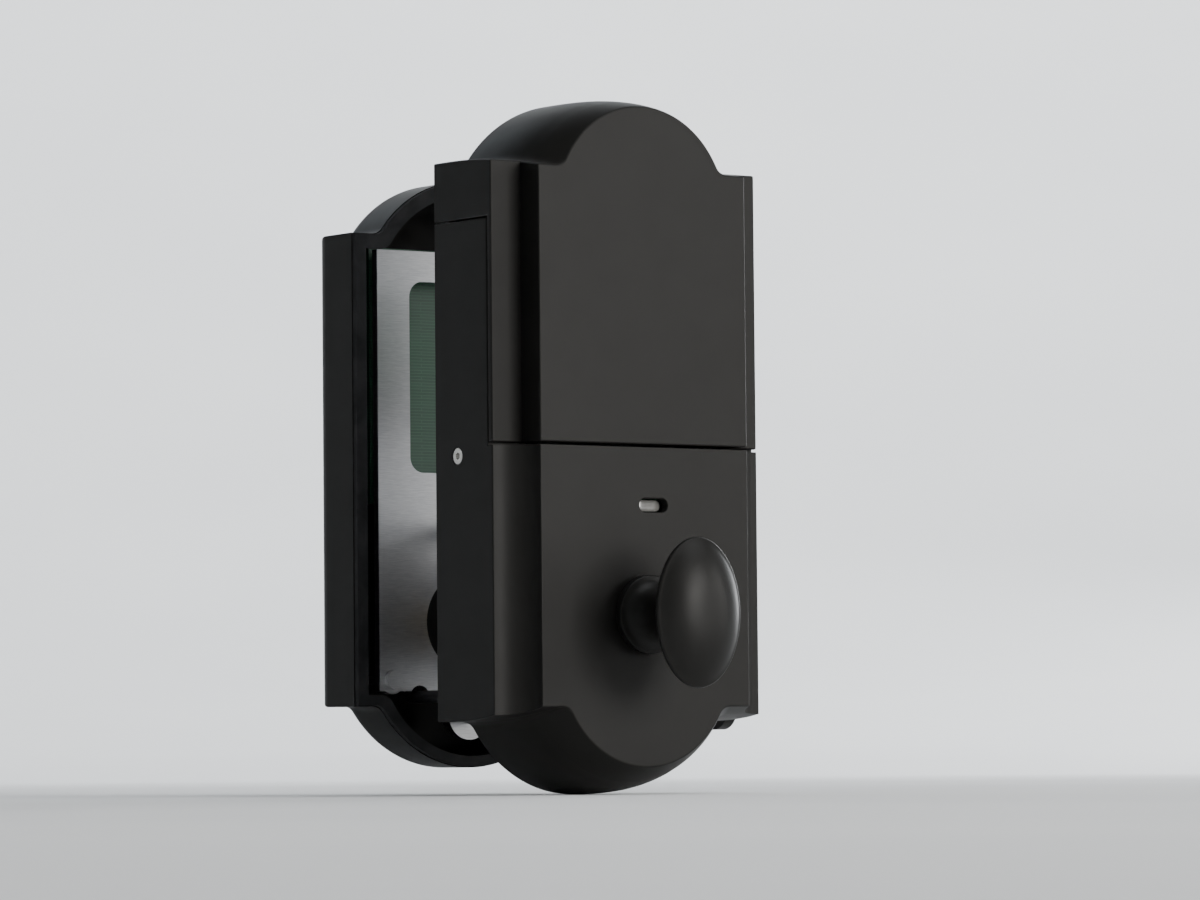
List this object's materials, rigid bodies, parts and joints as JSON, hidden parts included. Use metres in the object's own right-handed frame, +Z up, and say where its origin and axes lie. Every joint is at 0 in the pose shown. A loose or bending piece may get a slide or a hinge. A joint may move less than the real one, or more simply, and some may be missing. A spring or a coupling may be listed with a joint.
{
  "type": "keypad smart lock",
  "caption": "Motorised deadbolt with an arched inside unit, oval thumbturn, in-door bolt and an outside push-button keypad.",
  "frame": {"origin": "on the turn axis, on the inside face of the door", "axes": "+X towards the door edge, the way the bolt leaves; +Y through the door to the outside; +Z up"},
  "size_m": [0.1013, 0.1277, 0.1765],
  "materials": {
    "painted_metal_body": "satin",
    "painted_metal_cover": "satin",
    "painted_metal_knob": "matte",
    "steel": "zinc plated",
    "bolt_steel": "brushed",
    "bright_screw": "bright",
    "brass": "plain",
    "grey_plastic": "matte",
    "dark_plastic": "matte",
    "black_plastic": "matte",
    "white_plastic": "acetal",
    "circuit_board": "solder mask",
    "cell_sleeve": "printed sleeve over steel",
    "lens": "clear to milky",
    "cable": "jacket",
    "gasket_rubber": "foam",
    "mat_rubber": "silicone",
    "key_rubber": "satin, lit from behind"
  },
  "bodies": {
    "root": {"mounting_plate": "steel", "interior_housing": "painted_metal_body", "chassis": "grey_plastic", "battery_tray": "dark_plastic", "batteries": "cell_sleeve", "battery_contacts": "steel", "main_board": "circuit_board", "board_components": "black_plastic", "motor_can": "steel", "gear_pins": "steel", "gear_cover": "grey_plastic", "gear_cover_screws": "steel", "board_screws": "steel", "turn_bush": "white_plastic", "indicator_lens": "lens", "indicator_board": "circuit_board", "position_switch": "black_plastic", "side_screws": "bright_screw", "through_bolts": "steel", "cable_harness": "cable", "bolt_faceplate": "painted_metal_body", "bolt_tube": "steel", "bolt_frame": "steel", "weather_gasket": "gasket_rubber", "exterior_escutcheon": "painted_metal_body", "exterior_back_plate": "steel", "exterior_screws": "steel", "keypad_frame": "black_plastic", "keypad_mat": "mat_rubber", "keypad_board": "circuit_board", "cylinder_body": "painted_metal_body"},
    "spindle": {"thumbturn": "painted_metal_knob", "output_gear": "white_plastic", "turn_clip": "steel", "tailpiece": "steel", "bolt_cam": "brass", "cam_pin": "steel"},
    "second_gear_wheel": {"second_gear": "white_plastic"},
    "first_gear_wheel": {"first_gear": "white_plastic"},
    "motor_rotor": {"motor_pinion": "brass"},
    "bolt": {"deadbolt": "bolt_steel", "hardened_pin": "steel"},
    "battery_lid": {"battery_cover": "painted_metal_cover"},
    "key_plug": {"cylinder_plug": "brass", "plug_clip": "steel"},
    "key_1_cap": {"key_1": "key_rubber"},
    "key_2_cap": {"key_2": "key_rubber"},
    "key_3_cap": {"key_3": "key_rubber"},
    "key_4_cap": {"key_4": "key_rubber"},
    "key_5_cap": {"key_5": "key_rubber"},
    "key_6_cap": {"key_6": "key_rubber"},
    "key_7_cap": {"key_7": "key_rubber"},
    "key_8_cap": {"key_8": "key_rubber"},
    "key_9_cap": {"key_9": "key_rubber"},
    "key_lock_cap": {"key_lock": "key_rubber"},
    "key_0_cap": {"key_0": "key_rubber"},
    "key_enter_cap": {"key_enter": "key_rubber"}
  },
  "joints": [
    {"name": "thumbturn_turn", "type": "hinge", "parent": "root", "child": "spindle", "pos_m": [0, 0, 0], "axis": [0, 1, 0], "range_deg": [0, 90]},
    {"name": "second_gear_spin", "type": "hinge", "parent": "root", "child": "second_gear_wheel", "pos_m": [0.01594, -0.0125, 0.019], "axis": [0, 1, 0], "range_deg": [-310, 0]},
    {"name": "first_gear_spin", "type": "hinge", "parent": "root", "child": "first_gear_wheel", "pos_m": [0.00598, -0.0173, 0.02735], "axis": [0, 1, 0], "range_deg": [0, 1030]},
    {"name": "motor_spin", "type": "hinge", "parent": "root", "child": "motor_rotor", "pos_m": [-0.0044, -0.0193, 0.03033], "axis": [0, 1, 0], "range_deg": [-4530, 0]},
    {"name": "bolt_slide", "type": "slide", "parent": "root", "child": "bolt", "axis": [1, 0, 0], "range_m": [0, 0.0254]},
    {"name": "battery_cover_slide", "type": "slide", "parent": "root", "child": "battery_lid", "axis": [0, 0, 1], "range_m": [0, 0.09]},
    {"name": "key_plug_turn", "type": "hinge", "parent": "root", "child": "key_plug", "pos_m": [0, 0.0545, 0], "axis": [0, 1, 0], "range_deg": [-90, 90]},
    {"name": "key_1_press", "type": "slide", "parent": "root", "child": "key_1_cap", "axis": [0, -1, 0], "range_m": [0, 0.0012], "stiffness_N_per_m": 400, "springref_m": -0.0004},
    {"name": "key_2_press", "type": "slide", "parent": "root", "child": "key_2_cap", "axis": [0, -1, 0], "range_m": [0, 0.0012], "stiffness_N_per_m": 400, "springref_m": -0.0004},
    {"name": "key_3_press", "type": "slide", "parent": "root", "child": "key_3_cap", "axis": [0, -1, 0], "range_m": [0, 0.0012], "stiffness_N_per_m": 400, "springref_m": -0.0004},
    {"name": "key_4_press", "type": "slide", "parent": "root", "child": "key_4_cap", "axis": [0, -1, 0], "range_m": [0, 0.0012], "stiffness_N_per_m": 400, "springref_m": -0.0004},
    {"name": "key_5_press", "type": "slide", "parent": "root", "child": "key_5_cap", "axis": [0, -1, 0], "range_m": [0, 0.0012], "stiffness_N_per_m": 400, "springref_m": -0.0004},
    {"name": "key_6_press", "type": "slide", "parent": "root", "child": "key_6_cap", "axis": [0, -1, 0], "range_m": [0, 0.0012], "stiffness_N_per_m": 400, "springref_m": -0.0004},
    {"name": "key_7_press", "type": "slide", "parent": "root", "child": "key_7_cap", "axis": [0, -1, 0], "range_m": [0, 0.0012], "stiffness_N_per_m": 400, "springref_m": -0.0004},
    {"name": "key_8_press", "type": "slide", "parent": "root", "child": "key_8_cap", "axis": [0, -1, 0], "range_m": [0, 0.0012], "stiffness_N_per_m": 400, "springref_m": -0.0004},
    {"name": "key_9_press", "type": "slide", "parent": "root", "child": "key_9_cap", "axis": [0, -1, 0], "range_m": [0, 0.0012], "stiffness_N_per_m": 400, "springref_m": -0.0004},
    {"name": "key_lock_press", "type": "slide", "parent": "root", "child": "key_lock_cap", "axis": [0, -1, 0], "range_m": [0, 0.0012], "stiffness_N_per_m": 400, "springref_m": -0.0004},
    {"name": "key_0_press", "type": "slide", "parent": "root", "child": "key_0_cap", "axis": [0, -1, 0], "range_m": [0, 0.0012], "stiffness_N_per_m": 400, "springref_m": -0.0004},
    {"name": "key_enter_press", "type": "slide", "parent": "root", "child": "key_enter_cap", "axis": [0, -1, 0], "range_m": [0, 0.0012], "stiffness_N_per_m": 400, "springref_m": -0.0004}
  ],
  "couplings": [
    {"joint": "second_gear_spin", "follows": "thumbturn_turn", "ratio": -3.4286},
    {"joint": "first_gear_spin", "follows": "thumbturn_turn", "ratio": 11.429},
    {"joint": "motor_spin", "follows": "thumbturn_turn", "ratio": -50.286},
    {"joint": "bolt_slide", "follows": "thumbturn_turn", "m_per_rad": 0.01617}
  ]
}
